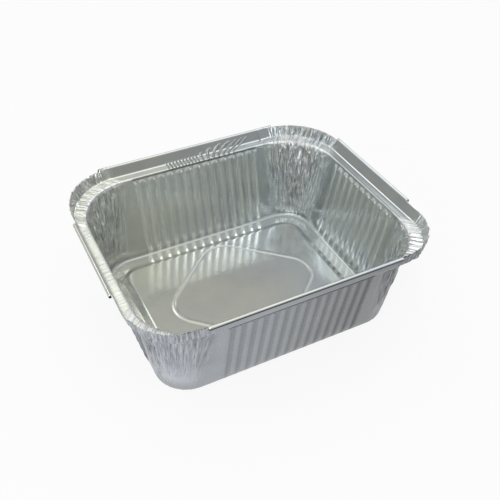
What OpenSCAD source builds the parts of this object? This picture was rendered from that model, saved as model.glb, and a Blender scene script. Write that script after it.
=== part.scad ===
// Foil food container, pressed from one sheet of aluminium foil.
// Fluted walls on a base with a raised panel and a diamond ridge, gathered
// corners, and a rim of ledge, flange and four curled beads.
// Millimetres. Z is up, X runs along the long sides, the front is at -Y.

/* [Opening] */
// Length of the opening at the inner edge of the ledge
open_len = 131; // [115:1:150]
// Width of the opening at the inner edge of the ledge
open_wid = 112; // [100:1:130]
// Corner radius of the opening
open_r = 27; // [20:0.5:30]

/* [Body] */
// Height of the ledge above the table
ledge_h = 43.2; // [30:0.1:60]
// How far the front, right and back walls lean in between the ledge and the foot
wall_inset = 9; // [6:0.1:12]
// How far the left wall leans in, which stands steeper than the others
left_inset = 6; // [4:0.1:12]
// Corner radius at the foot of the walls
foot_r = 15; // [13:0.5:20]
// Size of the rounded bend between the base and the walls
foot_bend = 1.6; // [0.8:0.1:2.5]
// Thickness of the foil
foil_t = 0.1; // [0.08:0.01:0.3]

/* [Base] */
// Width of the flat strip that the container stands on
strip_w = 7; // [5:0.1:9]
// Width of the slope up to the raised panel
step_w = 2.9; // [1.5:0.1:4]
// Height of the raised panel above the strip
panel_rise = 1.3; // [0.5:0.1:2.5]
// Corner radius of the raised panel
panel_r = 7; // [4:0.5:10]

/* [Diamond ridge] */
// Gap between the diamond's left and right corners and the panel's ends
diamond_gap_x = 8.2; // [1:0.1:12]
// Gap between the diamond's front and back corners and the panel's sides
diamond_gap_y = 0.2; // [0.1:0.1:8]
// Rounding of the diamond's corners
diamond_r = 13; // [8:0.5:16]
// Width of the ridge that draws the diamond
ridge_w = 3.2; // [2:0.1:4]
// Height of the ridge
ridge_h = 0.4; // [0.3:0.1:1.2]

/* [Flutes] */
// Spacing of the grooves in the walls
flute_pitch = 5; // [3.6:0.1:8]
// Least width of plain wall between the outermost grooves and the corners
flute_margin = 3; // [1:0.5:15]
// Depth of the grooves, pressed outwards
flute_depth = 0.7; // [0.3:0.05:1]
// Width of a groove's narrow part, as the fold in the foil
flute_fold = 2.2; // [1.6:0.1:2.8]
// Height over which the ribs' rounded tops sink into the grooves
rib_fade = 0.8; // [0.4:0.1:3]
// Height over which the joined grooves run out under the ledge
flute_fade = 0.7; // [0.4:0.1:3]
// Plain foil left between the grooves' upper ends and the ledge
flute_gap = 0.2; // [0.1:0.1:6]

/* [Corner gathers] */
// Number of gathers in each corner
gathers = 10; // [6:1:12]
// Deepest gather, from the even wall
gather_depth = 0.5; // [0.2:0.05:0.7]
// Choice of the uneven pattern of gathers
gather_seed = 21; // [1:1:99]

/* [Rim] */
// Width of the ledge along the sides
ledge_w = 4.5; // [3:0.1:7]
// Corner radius of the ledge's outer edge
ledge_r = 27.5; // [22:0.5:36]
// Size of the rounded bends on both sides of the ledge
ledge_bend = 0.8; // [0.4:0.1:1.2]
// Height of the flange along the sides, measured along its slope
flange_w = 5.5; // [4:0.1:9]
// Height of the flange at the middle of each corner
flange_corner_w = 5.9; // [4:0.1:9]
// Lean of the flange outwards from upright, along the right and the back
flange_lean = 28; // [10:1:45]
// Lean of the flange along the left
left_lean = 12; // [0:1:45]
// Upward tilt of the ledge along the front, where it has been pushed up
front_tilt = 35; // [0:1:45]
// Lean of the flange along the front
front_lean = 6; // [0:1:28]

/* [Beads] */
// Outer diameter of the curled beads
bead_d = 1.7; // [1.2:0.1:2.5]
// Length of the bead along the front
bead_len_front = 81; // [60:1:90]
// Length of the bead along the right
bead_len_right = 57; // [40:1:64]
// Length of the bead along the back
bead_len_back = 88; // [60:1:90]
// Length of the bead along the left
bead_len_left = 52; // [40:1:64]
// How far round each bead curls
bead_turn = 300; // [180:10:320]

/* [Hidden] */

// Length of the rounded ends of the panel's slope
step_bend = 0.5;
// Depth of a groove's shoulder, and of the wall where the grooves join above
// the ribs, as shares of the groove's depth
shoulder = 0.16;
rib_sunk = 0.8;
// Unevenness of the gathers: their least depth as a share of the deepest, and
// how far a gather moves sideways as a share of the distance between them
least_gather = 0.25;
gather_shift = 0.28;
// Tilt of the ledge and lean of the flange on the front, right, back and left,
// and the angles round the corner after each side between which they turn
// into those of the next side
tilts = [front_tilt, 0, 0, 0];
tilt_turns = [[5, 45], [0, 90], [0, 90], [45, 85]];
leans = [front_lean, flange_lean, flange_lean, left_lean];
lean_turns = [[20, 85], [0, 90], [35, 85], [0, 50]];
// How far each bead lies off the middle of its side, front, right, back and left
bead_shift = [-0.8, 3.2, 0.7, -0.6];
// Length of straight rim that stays between a bead's end and the corner
bead_margin = 0.5;
// Turns, and the slack within which a point counts as on a turn's start
quarter_turn = 90;
full_turn = 4 * quarter_turn;
turn_slack = 0.001;
// Pieces in each bend, bead and rounded corner
bend_n = 2;
bead_n = 9;
arc_n = 8;
ridge_n = 8;

half_l = open_len / 2;
half_w = open_wid / 2;
step_low = -(wall_inset + strip_w);
step_high = step_low - step_w;
gather_n = 2 * gathers;
bead_r = bead_d / 2 - foil_t;

// Heights on the wall where the grooves end, where the ribs between them end
// and where the ribs are still whole
flute_top = ledge_h - ledge_bend - flute_gap;
rib_top = flute_top - flute_fade;
rib_full = rib_top - rib_fade;

function mix(a, b, k) = a + (b - a) * k;
function ease(k) = let (c = max(0, min(1, k))) c * c * (3 - 2 * c);
function even(q) = q % 2 == 0;
function unit(v) = v / norm(v);
function bezier(a, c, b, k) = a * (1 - k) * (1 - k) + c * 2 * k * (1 - k) + b * k * k;
function bend(a, c, b) = [for (i = [0 : bend_n]) bezier(a, c, b, i / bend_n)];

// Stations: the points of every ring, in order round the container.
// A station is [side, on_corner, place, groove, gather, in_row]. place is the
// distance from the middle of a side, or the angle round a corner, groove and
// gather are shares of their depths, and in_row is 1 within a row of flutes.
function side_half(q) = even(q) ? half_l : half_w;
function wall_straight(q) = side_half(q) - max(open_r, max(wall_inset, left_inset) + foot_r);
function rim_straight(q) = side_half(q) - open_r;
function groove_marks() = let (n = flute_fold / flute_pitch / 2)
    [[-0.5, 0], [-n, shoulder], [0, 1], [n, shoulder]];
function flute_stations(q) = let (
    count = floor(2 * (wall_straight(q) - flute_margin) / flute_pitch),
    half = count * flute_pitch / 2)
    [for (i = [0 : count - 1]) for (m = groove_marks())
        [q, 0, (i + 0.5 + m[0]) * flute_pitch - half, m[1], 0, i == 0 && m[1] == 0 ? 0 : 1],
     [q, 0, half, 0, 0, 0]];

// A bead's reach from the middle of its side, way -1 to its start and 1 to its end
bead_lens = [bead_len_front, bead_len_right, bead_len_back, bead_len_left];
function bead_reach(q, way) = bead_lens[q] / 2 + way * bead_shift[q];
function bead_straight(q, way) = min(bead_reach(q, way), rim_straight(q) - bead_margin);
function rim_stations(q) = [for (way = [-1, 0, 1])
    [q, 0, way == 0 ? 0 : way * bead_straight(q, way), 0, 0, 0]];

function shifts(q) = rands(-gather_shift, gather_shift, gather_n + 1, gather_seed + q);
function depths(q) = rands(least_gather, 1, gather_n + 1, gather_seed + 10 + q);
function corner_stations(q) = let (s = shifts(q), d = depths(q))
    [for (j = [0 : gather_n]) let (
        inner = j > 0 && j < gather_n,
        fullness = sqrt(sin(2 * quarter_turn * j / gather_n)))
        [q, 1, quarter_turn * (j + (inner ? s[j] : 0)) / gather_n, 0,
         inner ? d[j] * fullness * (even(j) ? 1 : -1) : 0, 0]];
function round_stations(q) = [for (j = [0 : arc_n]) [q, 1, quarter_turn * j / arc_n, 0, 0, 0]];

fluted = [for (q = [0 : 3]) each concat(flute_stations(q), corner_stations(q))];
plain = [for (q = [0 : 3]) each concat(rim_stations(q), corner_stations(q))];
smooth = [for (q = [0 : 3]) each concat([[q, 0, 0, 0, 0, 0]], round_stations(q))];

// Tilt of the ledge, and lean and height of the flange, at a station
function turning(st, values, turns) = let (q = st[0], ends = turns[q])
    mix(values[q], values[(q + 1) % 4], st[1] * ease((st[2] - ends[0]) / (ends[1] - ends[0])));
function tilt_at(st) = turning(st, tilts, tilt_turns);
function lean_at(st) = turning(st, leans, lean_turns);
function flange_at(st) = mix(flange_w, flange_corner_w, st[1] * sin(2 * st[2]));

// Plan position of a station on the rounded rectangle that lies out from the
// opening by out, with corner radius r, at height z. Below the ledge the left
// side lies further out than the others, as its wall leans in less.
function side_out(q, out, z) = let (inset = q % 4 == 3 ? left_inset : wall_inset)
    out + (wall_inset - inset) * max(0, 1 - z / ledge_h);
function plan(st, out, r, z) = let (
    q = st[0],
    along = side_half(q) + side_out(q + 1, out, z) - r,
    away = side_half(q + 1) + side_out(q, out, z),
    a = quarter_turn * (q - 1),
    n = [cos(a), sin(a)],
    d = [-sin(a), cos(a)],
    b = a + st[2])
    st[1] == 0 ? n * away + d * st[2]
    : n * (away - r) + d * along + r * [cos(b), sin(b)];

// The sheet's section on its outer face, as points of [out, height], where
// out is measured from the edge of the opening.
wall_dir = unit([wall_inset, ledge_h]);
wall_foot = [-wall_inset, 0];
step_slope = panel_rise / step_w;
function on_wall(z) = wall_foot + wall_dir * (z / wall_dir[1]);
function ledge_end(tilt) = [0, ledge_h] + ledge_w * [cos(tilt), sin(tilt)];
function flange_top(tilt, lean, w) = ledge_end(tilt) + w * [sin(lean), cos(lean)];

foot_line = concat(
    bend([step_high - step_bend, panel_rise], [step_high, panel_rise],
         [step_high + step_bend, panel_rise - step_bend * step_slope]),
    bend([step_low - step_bend, step_bend * step_slope], [step_low, 0],
         [step_low + step_bend, 0]));
wall_line = concat(
    bend(wall_foot - [foot_bend, 0], wall_foot, on_wall(foot_bend)),
    [on_wall(rib_full), on_wall(rib_top), on_wall(flute_top)]);
function rim_line(tilt, lean, w) = let (
    inner = [0, ledge_h],
    outer = ledge_end(tilt),
    ledge_dir = [cos(tilt), sin(tilt)],
    flange_dir = [sin(lean), cos(lean)])
    concat(
        bend(inner - ledge_bend * wall_dir, inner, inner + ledge_bend * ledge_dir),
        bend(outer - ledge_bend * ledge_dir, outer, outer + ledge_bend * flange_dir),
        [flange_top(tilt, lean, w)]);
function bead_line(tilt, lean, w) = let (
    out = [cos(lean), -sin(lean)],
    up = [sin(lean), cos(lean)],
    centre = flange_top(tilt, lean, w) + out * bead_r)
    [for (k = [1 : bead_n]) let (a = bead_turn * k / bead_n)
        centre + bead_r * (up * sin(a) - out * cos(a))];
function section(tilt, lean, w) = concat(
    foot_line, wall_line, rim_line(tilt, lean, w), bead_line(tilt, lean, w));
function section_at(st) = section(tilt_at(st), lean_at(st), flange_at(st));
even_section = section(0, flange_lean, flange_w);

foot_n = len(foot_line);
wall_n = len(wall_line);
rim_n = len(rim_line(0, 0, flange_w));
wall_start = foot_n;
rim_start = foot_n + wall_n;

// Normal of a section at point k, towards the inner face. It is longer at a
// bend, so that both sides of the bend keep the foil's thickness.
function side_normal(a, b) = let (d = unit(b - a)) [-d[1], d[0]];
function normal_at(line, k) = let (
    last = len(line) - 1,
    before = k > 0 ? side_normal(line[k - 1], line[k]) : [0, 1],
    after = k < last ? side_normal(line[k], line[k + 1]) : before,
    m = unit(before + after))
    m / (m * after);

// A point of the sheet: point k of a section, moved along its normal there,
// and by push along the normal at point push_k.
function at(st, line, k, r, move, push = 0, push_k = 0) = let (
    p = line[k],
    s = p + normal_at(line, k) * move + normal_at(line, push_k) * push,
    c = plan(st, s[0], r + s[0] - p[0], s[1]) + centre_shift)
    [c[0], c[1], s[1]];

// The rim leans out less on the front and the left than opposite them, so the
// whole is moved to keep the origin under the middle of its overall size.
function reach(q) = let (line = section(tilts[q], leans[q], flange_w))
    max([for (k = [0 : len(line) - 1]) (line[k] + normal_at(line, k) * foil_t)[0]]);
centre_shift = [reach(3) - reach(1), reach(0) - reach(2)] / 2;

// Rings of the sheet, from the middle of the base outwards. skin is 0 for
// the outer face of the sheet and 1 for the inner one.
function diamond_ring(grow, z) = let (
    flat = step_high - step_bend - ridge_w / 2 - diamond_r,
    a = half_l + flat - diamond_gap_x,
    b = half_w + flat - diamond_gap_y,
    turn = atan2(a, b),
    corners = [[0, -b], [a, 0], [0, b], [-a, 0]],
    spans = [quarter_turn - turn, turn, quarter_turn - turn, turn],
    ring = [for (i = [0 : 3]) for (j = [0 : ridge_n])
        let (g = quarter_turn * (i - 1) + spans[i] * (2 * j / ridge_n - 1),
             p = corners[i] + (diamond_r + grow) * [cos(g), sin(g)])
        [p[0] + centre_shift[0], p[1] + centre_shift[1], z]])
    from(ring, ridge_n / 2);
function from(ring, k) = [for (i = [0 : len(ring) - 1]) ring[(i + k) % len(ring)]];
ridge_section = [[-0.5, 0], [-0.2, 0.8], [0, 1], [0.2, 0.8], [0.5, 0]];
function diamond_rings(skin) = [for (m = ridge_section)
    diamond_ring(m[0] * ridge_w, panel_rise + m[1] * ridge_h + skin * foil_t)];

function foot_rings(skin) = [for (k = [0 : foot_n - 1])
    [for (st = smooth) at(st, even_section, k,
        panel_r + foot_line[k][0] - step_high, skin * foil_t)]];

// Shares of the groove depth and of the gather depth, ring by ring, and the
// rings at which the ribs are sunk as well
groove_share = [0, 0.6, 1, 1, rib_sunk, 0];
ribs_sunk = [0, 0, 0, 0, 1, 0];
wall_gather = [0, 0.12, 0.25, 0.9, 0.95, 1];
rim_gather = [1, 0.8, 0.5, 0.4, 0.5, 0.6, 1];
function wall_rings(skin) = [for (k = [0 : wall_n - 1])
    [for (st = fluted) at(st, even_section, wall_start + k,
        mix(foot_r, open_r, wall_line[k][1] / ledge_h),
        skin * foil_t - mix(st[3], st[5], ribs_sunk[k]) * flute_depth * groove_share[k]
        + st[4] * gather_depth * wall_gather[k])]];
function rim_radius(out) = let (k = max(0, min(1, out / ledge_w)))
    mix(open_r, ledge_r, k) + max(0, out - ledge_w);
function rim_point(st, line, k, skin) = let (flange_k = min(k, rim_n - 1))
    at(st, line, rim_start + k, rim_radius(line[rim_start + k][0]), skin * foil_t,
       st[4] * gather_depth * rim_gather[flange_k], rim_start + flange_k);
function rim_rings(skin) = let (lines = [for (st = plain) section_at(st)])
    [for (k = [0 : rim_n - 1])
        [for (i = [0 : len(plain) - 1]) rim_point(plain[i], lines[i], k, skin)]];

// Each bead follows the rim stations between its two ends, and goes on round
// the corners for as many gathers as its length asks for.
side_span = 3 + gather_n + 1;
function runs_on(q, way) = max(0, round((bead_reach(q, way) - rim_straight(q))
    / (PI * ledge_r / 2 / gather_n)));
function bead_extra(q, way) = runs_on(q, way) > 0 ? runs_on(q, way) + 1 : 0;
function bead_stations(q) = [for (i = [-bead_extra(q, -1) : 2 + bead_extra(q, 1)])
    (side_span * q + i + len(plain)) % len(plain)];
function bead_points(q, skin) = [for (k = [rim_n : rim_n + bead_n - 1])
    for (i = bead_stations(q)) rim_point(plain[i], section_at(plain[i]), k, skin)];

// Faces. same joins two closed rings of n points each, and zip joins closed
// rings of any numbers of points by the growing marks ta and tb of their
// points, which come back by lap after one turn. a and b are first indices.
function same(a, b, n) = [for (i = [0 : n - 1]) let (j = (i + 1) % n)
    each [[a + i, b + i, a + j], [a + j, b + i, b + j]]];
function mark(t, i, lap) = i < len(t) ? t[i] : t[i - len(t)] + lap;
function zip(a, ta, b, tb, lap) = let (na = len(ta), nb = len(tb))
    [for (i = 0, j = 0, on_a = mark(ta, 1, lap) <= mark(tb, 1, lap); i + j < na + nb;
        i = on_a ? i + 1 : i, j = on_a ? j : j + 1,
        on_a = j >= nb || (i < na && mark(ta, i + 1, lap) <= mark(tb, j + 1, lap)))
        on_a ? [a + i % na, b + j % nb, a + (i + 1) % na]
             : [a + i % na, b + j % nb, b + (j + 1) % nb]];
function turn_marks(ring) = [for (p = ring)
    let (t = atan2(p[1] - centre_shift[1], p[0] - centre_shift[0]) + quarter_turn)
    t < -turn_slack ? t + full_turn : t];
lap_marks = 8;
function station_marks(stations) = let (half = max(half_l, half_w))
    [for (st = stations) 2 * st[0]
        + (st[1] == 1 ? 1 + st[2] / quarter_turn : (st[2] + half) / (2 * half))];
function flip(faces) = [for (f = faces) [for (i = [len(f) - 1 : -1 : 0]) f[i]]];
function starts(rings, k) = k == 0 ? 0 : starts(rings, k - 1) + len(rings[k - 1]);

module foil_container() {
    base = [for (skin = [0, 1]) concat(diamond_rings(skin), foot_rings(skin))];
    ridges = len(ridge_section);
    rings = [for (skin = [0, 1]) concat(base[skin], wall_rings(skin), rim_rings(skin))];
    first = [for (k = [0 : len(rings[0])]) starts(rings[0], k)];
    ring_end = first[len(rings[0])];
    beads = [for (q = [0 : 3]) len(bead_stations(q))];
    bead_first = [for (q = [0 : 3])
        ring_end + bead_n * (q > 0 ? beads[0] : 0) + bead_n * (q > 1 ? beads[1] : 0)
        + bead_n * (q > 2 ? beads[2] : 0)];
    skin_n = bead_first[3] + bead_n * beads[3];
    points = [for (skin = [0, 1]) concat(
        [for (ring = rings[skin]) each ring],
        [for (q = [0 : 3]) each bead_points(q, skin)])];

    wall_k = ridges + foot_n;
    rim_k = wall_k + wall_n;
    last_k = rim_k + rim_n - 1;
    function bead_index(q, row, j) = row == 0 ? first[last_k] + bead_stations(q)[j]
        : bead_first[q] + (row - 1) * beads[q] + j;
    function strip(k) = same(first[k], first[k + 1], len(rings[0][k]));

    sheet = concat(
        [[for (i = [0 : len(rings[0][0]) - 1]) i]],
        [for (k = [0 : ridges - 2]) each strip(k)],
        zip(first[ridges - 1], turn_marks(rings[0][ridges - 1]),
            first[ridges], turn_marks(rings[0][ridges]), full_turn),
        [for (k = [ridges : wall_k - 2]) each strip(k)],
        zip(first[wall_k - 1], station_marks(smooth),
            first[wall_k], station_marks(fluted), lap_marks),
        [for (k = [wall_k : rim_k - 2]) each strip(k)],
        zip(first[rim_k - 1], station_marks(fluted),
            first[rim_k], station_marks(plain), lap_marks),
        [for (k = [rim_k : last_k - 1]) each strip(k)],
        [for (q = [0 : 3]) for (row = [0 : bead_n - 1]) for (j = [0 : beads[q] - 2])
            let (a = bead_index(q, row, j), b = bead_index(q, row + 1, j),
                 c = bead_index(q, row, j + 1), d = bead_index(q, row + 1, j + 1))
            each [[a, b, c], [c, b, d]]]);

    // The raw edge, along the beads' ends and the bare corners of the flange
    bare_start = [for (q = [0 : 3]) side_span * q + 2 + bead_extra(q, 1)];
    bare_end = [for (q = [0 : 3]) side_span * (q + 1) - bead_extra((q + 1) % 4, -1)];
    edge = [for (q = [0 : 3]) each concat(
        [for (row = [0 : bead_n]) bead_index(q, row, 0)],
        [for (j = [1 : beads[q] - 1]) bead_index(q, bead_n, j)],
        [for (row = [bead_n - 1 : -1 : 0]) bead_index(q, row, beads[q] - 1)],
        [for (i = [bare_start[q] + 1 : bare_end[q] - 1])
            first[last_k] + i % len(plain)])];
    raw_edge = [for (i = [0 : len(edge) - 1])
        let (p = edge[i], n = edge[(i + 1) % len(edge)])
        each [[n, p, p + skin_n], [n, p + skin_n, n + skin_n]]];

    color("silver")
        polyhedron(
            points = concat(points[0], points[1]),
            faces = concat(sheet, [for (f = flip(sheet)) [for (i = f) i + skin_n]], raw_edge),
            convexity = 12);
}

foil_container();
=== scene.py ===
import math

import bpy
import numpy as np
from mathutils import Matrix, Vector


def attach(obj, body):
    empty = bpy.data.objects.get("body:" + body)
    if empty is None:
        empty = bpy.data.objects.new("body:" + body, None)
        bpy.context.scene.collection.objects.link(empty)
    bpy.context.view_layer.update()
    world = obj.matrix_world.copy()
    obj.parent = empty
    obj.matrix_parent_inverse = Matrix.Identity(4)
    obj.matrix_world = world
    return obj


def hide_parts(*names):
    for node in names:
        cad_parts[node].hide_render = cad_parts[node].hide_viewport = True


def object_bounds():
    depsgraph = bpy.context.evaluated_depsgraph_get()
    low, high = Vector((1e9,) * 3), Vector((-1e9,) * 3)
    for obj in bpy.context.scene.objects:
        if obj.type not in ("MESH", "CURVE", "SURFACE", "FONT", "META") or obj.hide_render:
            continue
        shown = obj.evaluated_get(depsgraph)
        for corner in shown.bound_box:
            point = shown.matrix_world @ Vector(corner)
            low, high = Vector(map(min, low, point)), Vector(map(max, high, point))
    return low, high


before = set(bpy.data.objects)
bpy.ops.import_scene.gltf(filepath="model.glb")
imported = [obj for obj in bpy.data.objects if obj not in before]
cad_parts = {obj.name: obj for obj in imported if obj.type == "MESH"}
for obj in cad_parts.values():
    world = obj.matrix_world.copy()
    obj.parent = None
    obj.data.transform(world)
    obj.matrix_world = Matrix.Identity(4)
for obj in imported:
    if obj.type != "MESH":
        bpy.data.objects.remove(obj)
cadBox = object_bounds()
print("frame loaded")

mm = 0.001

# The pressed sheet, in millimetres and degrees, from the same sizes as the solid
sheet = {
    "openLength": 131, "openWidth": 112, "openRadius": 27,
    "ledgeHeight": 43.2, "wallInset": 9, "leftInset": 6, "footRadius": 15, "footBend": 1.6, "foil": 0.1,
    "stripWidth": 7, "stepWidth": 2.9, "panelRise": 1.3, "panelRadius": 7, "stepBend": 0.5,
    "ledgeWidth": 4.5, "ledgeRadius": 27.5, "ledgeBend": 0.8,
    "flangeWidth": 5.5, "flangeCorner": 5.9, "flangeHollow": 0.05,
    "bead": 1.7, "beadTurn": 300, "shift": (-0.67, -1.358),
}

# For the front, right, back and left: the tilt of the ledge, the lean of the flange, and
# how far the bead reaches from the side's middle to its start and its end. The turns are
# the angles, round the corner after each side, between which one side becomes the next
sides = {
    "tilt": (35, 0, 0, -5), "tiltTurns": ((5, 45), (0, 90), (0, 90), (45, 85)),
    "lean": (6, 28, 28, 12), "leanTurns": ((20, 85), (0, 90), (35, 85), (0, 50)),
    "bead": ((41.3, 39.7), (25.3, 31.7), (43.3, 44.7), (26.6, 25.4)),
}

# The diamond ridge on the raised panel
diamond = {"gapX": 8.2, "gapY": 0.2, "radius": 13, "width": 2.0, "height": 0.2, "steepness": 2.2}

# How finely each stretch of the sheet is divided. The last line's shares give the panel and
# its middle one more row each, close to the slope and to both feet of the ridge
fineness = {
    "grooveMarks": (-2.5, -1.6, -1.2, -0.8, -0.4, 0, 0.4, 0.8, 1.2, 1.6), "endSteps": 6, "cornerSteps": 84,
    "wallRows": 10, "topRows": 6, "topReach": 4.2, "ledgeRows": 3, "flangeRows": 5, "beadRows": 8,
    "bendRows": 4, "slopeRows": 3, "panelRows": 4, "ridgeRows": 7, "middleRows": 4,
    "searchReach": 60.0, "searchSteps": 32,
    "panelRim": 0.98, "ridgeFoot": 0.03, "middleRim": 0.985,
}

# The inputs of the tree that presses the sheet: lengths in millimetres, and shares and seeds.
# The flare's width is in groove spacings, and the crease's line and flank in steps of its noise
folds = {
    "Groove spacing": 5.0, "Groove row, long sides": 70.0, "Groove row, short sides": 50.0,
    "Groove depth": 0.75, "Fold width": 2.4, "Fold side": 0.4, "Rib arch": 0.12,
    "Ledge height": sheet["ledgeHeight"], "Row fade": 1.1, "Groove foot": 5.0,
    "Top gap": 0.15, "Top fade": 0.8, "Flare start": 2.6, "Flare end": 0.9, "Flare width": 1.3,
    "Gather depth": 1.1, "Gather spacing": 3.2, "Gather length": 34.0, "Rim calm": 0.6,
    "Crease depth": 0.95, "Crease spacing": 2.1, "Crease length": 9.0,
    "Crease line": 0.07, "Crease flank": 0.16, "Crease rise": 0.3, "Corner fullness": 0.45,
    "Rim ripple": 0.9, "Ripple spacing": 1.7, "Ripple rows": 1.2, "Side ripple": 0.02,
    "Dent depth": 0.1, "Dent scale": 62.0, "Seed": 21.0, "Crease seed": 7.0, "Band seed": 3.0,
}

# The heights between which each kind of fold grows, and the share that it starts with
growth = {"crease": (4.0, 16.0, 0.0), "gather": (0.5, 40.0, 0.12), "dent": (0.2, 5.0, 0.07)}

halfX = sheet["openLength"] / 2
halfY = sheet["openWidth"] / 2


def mix(a, b, k):
    return a + (b - a) * k


def ease(k):
    k = min(1.0, max(0.0, k))
    return k * k * (3 - 2 * k)


def bend(a, corner, b, rows):
    a, corner, b = np.array(a), np.array(corner), np.array(b)
    return [a * (1 - k) ** 2 + corner * 2 * k * (1 - k) + b * k * k for k in np.linspace(0, 1, rows)]


def turned(angle):
    return np.array([math.cos(math.radians(angle)), math.sin(math.radians(angle))])


def between(a, b, rows):
    return list(np.linspace(a, b, rows + 1)[1:-1])


# How far each of a line's points is from its first, along the line
def distances(line):
    steps = [np.linalg.norm(ahead - here) for here, ahead in zip(line[:-1], line[1:])]
    return [0.0, *np.cumsum(steps).tolist()]


def sideHalf(side):
    return halfX if side % 2 == 0 else halfY


# Stations go once round the container: side, whether it is on the corner after
# that side, and its place, in mm from the middle of the side or degrees round the corner
def makeStations():
    stations = []
    for side in range(4):
        straight = sideHalf(side) - sheet["openRadius"]
        row = folds["Groove row, short sides" if side % 2 else "Groove row, long sides"] / 2
        pitch = folds["Groove spacing"]
        places = list(np.linspace(-straight, -row, fineness["endSteps"] + 1)[:-1])
        for i in range(round(2 * row / pitch)):
            places += [(i + 0.5) * pitch - row + mark for mark in fineness["grooveMarks"]]
        places += list(np.linspace(row, straight, fineness["endSteps"] + 1)[:-1])
        stations += [(side, False, float(place)) for place in places]
        stations += [(side, True, 90 * i / fineness["cornerSteps"]) for i in range(fineness["cornerSteps"])]
    return stations


def turning(station, name):
    side, onCorner, place = station
    if not onCorner:
        return sides[name][side]
    low, high = sides[name + "Turns"][side]
    return mix(sides[name][side], sides[name][(side + 1) % 4], ease((place - low) / (high - low)))


# From 0 on the straight to 1 in the middle of a corner
def cornerShare(station):
    side, onCorner, place = station
    return math.sin(math.radians(2 * place)) if onCorner else 0.0


def facingOut(station):
    side, onCorner, place = station
    return turned(90 * side - 90 + (place if onCorner else 0))


# Below the ledge the left side lies further out, as its wall leans in less
def sideOut(side, out, height):
    inset = sheet["leftInset"] if side % 4 == 3 else sheet["wallInset"]
    return out + (sheet["wallInset"] - inset) * max(0.0, 1 - height / sheet["ledgeHeight"])


def rimRadius(out):
    k = min(1.0, max(0.0, out / sheet["ledgeWidth"]))
    return mix(sheet["openRadius"], sheet["ledgeRadius"], k) + max(0.0, out - sheet["ledgeWidth"])


def planPoint(station, out, radius, height):
    side, onCorner, place = station
    alongHalf = sideHalf(side) + sideOut(side + 1, out, height) - radius
    away = sideHalf(side + 1) + sideOut(side, out, height)
    facing, along = turned(90 * side - 90), turned(90 * side)
    if onCorner:
        return facing * (away - radius) + along * alongHalf + radius * facingOut(station)
    return facing * away + along * place


# The section from the top of the panel's slope to the foot of the wall: (out, height)
stepLow = -(sheet["wallInset"] + sheet["stripWidth"])
stepHigh = stepLow - sheet["stepWidth"]
wallWay = np.array([sheet["wallInset"], sheet["ledgeHeight"]])
wallWay = wallWay / np.linalg.norm(wallWay)


def footLine():
    slope = sheet["panelRise"] / sheet["stepWidth"]
    e, rise, rows = sheet["stepBend"], sheet["panelRise"], fineness["slopeRows"]
    upper = bend([stepHigh - e, rise], [stepHigh, rise], [stepHigh + e, rise - e * slope], rows)
    lower = bend([stepLow - e, e * slope], [stepLow, 0], [stepLow + e, 0], rows)
    return upper + lower + [np.array([mix(stepLow + e, -sheet["wallInset"] - sheet["footBend"], 0.5), 0])]


def wallLine():
    e = sheet["footBend"]
    foot = np.array([-sheet["wallInset"], 0])
    line = bend(foot - [e, 0], foot, foot + wallWay * e, fineness["bendRows"] + 1)
    top = (sheet["ledgeHeight"] - sheet["ledgeBend"]) / wallWay[1]
    upper = top - fineness["topReach"]
    marks = between(e, upper, fineness["wallRows"])
    marks += list(np.linspace(upper, top, fineness["topRows"] + 1)[:-1])
    return line + [foot + wallWay * mark for mark in marks]


def rimLine(tilt, lean, width):
    e, rows = sheet["ledgeBend"], fineness["bendRows"]
    inner = np.array([0, sheet["ledgeHeight"]])
    ledgeWay, flangeWay = turned(tilt), turned(90 - lean)
    outer = inner + ledgeWay * sheet["ledgeWidth"]
    line = bend(inner - wallWay * e, inner, inner + ledgeWay * e, rows)
    line += [inner + ledgeWay * mix(e, sheet["ledgeWidth"] - e, k)
             for k in between(0, 1, fineness["ledgeRows"])]
    line += bend(outer - ledgeWay * e, outer, outer + flangeWay * e, rows)
    line += [outer + flangeWay * mix(e, width, k) + turned(-lean) * sheet["flangeHollow"] * 4 * k * (1 - k)
             for k in np.linspace(0, 1, fineness["flangeRows"] + 1)[1:]]
    return line


def beadLine(top, lean):
    radius = sheet["bead"] / 2 - sheet["foil"]
    out, up = turned(-lean), turned(90 - lean)
    centre = top + out * radius
    rows = fineness["beadRows"]
    angles = [math.radians(sheet["beadTurn"] * k / rows) for k in range(1, rows + 1)]
    return [centre + radius * (up * math.sin(a) - out * math.cos(a)) for a in angles]


def rimAndBead(station):
    tilt, lean = turning(station, "tilt"), turning(station, "lean")
    rim = rimLine(tilt, lean, mix(sheet["flangeWidth"], sheet["flangeCorner"], cornerShare(station)))
    return rim + beadLine(rim[-1], lean)


# Reach is how far up the sheet a row is from the foot of the wall, measured on the front.
# The flange's edge, where the beads start, is the last of these rows
wallReaches = distances(wallLine())
rimReaches = distances(wallLine() + rimLine(sides["tilt"][0], sides["lean"][0], sheet["flangeWidth"]))
rimReaches = rimReaches[len(wallReaches):]
edgeReach = rimReaches[-1]


# Distance from a point to the diamond's inner rhombus, less its rounding
def diamondDistance(x, y):
    flat = stepHigh - sheet["stepBend"] - diamond["width"] / 2 - diamond["radius"]
    a, b = halfX + flat - diamond["gapX"], halfY + flat - diamond["gapY"]
    x, y = abs(x), abs(y)
    k = min(1.0, max(0.0, ((a - x) * a + y * b) / (a * a + b * b)))
    nearX, nearY = a * (1 - k), b * k
    inside = x / a + y / b < 1
    gap = math.hypot(x - nearX, y - nearY)
    return (-gap if inside else gap) - diamond["radius"]


# How far out along a ray from the middle the distance to the diamond becomes this one
def diamondReach(way, distance):
    low, high = 0.0, fineness["searchReach"]
    for _ in range(fineness["searchSteps"]):
        middle = (low + high) / 2
        if diamondDistance(*(way * middle)) > distance:
            high = middle
        else:
            low = middle
    return low


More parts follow.
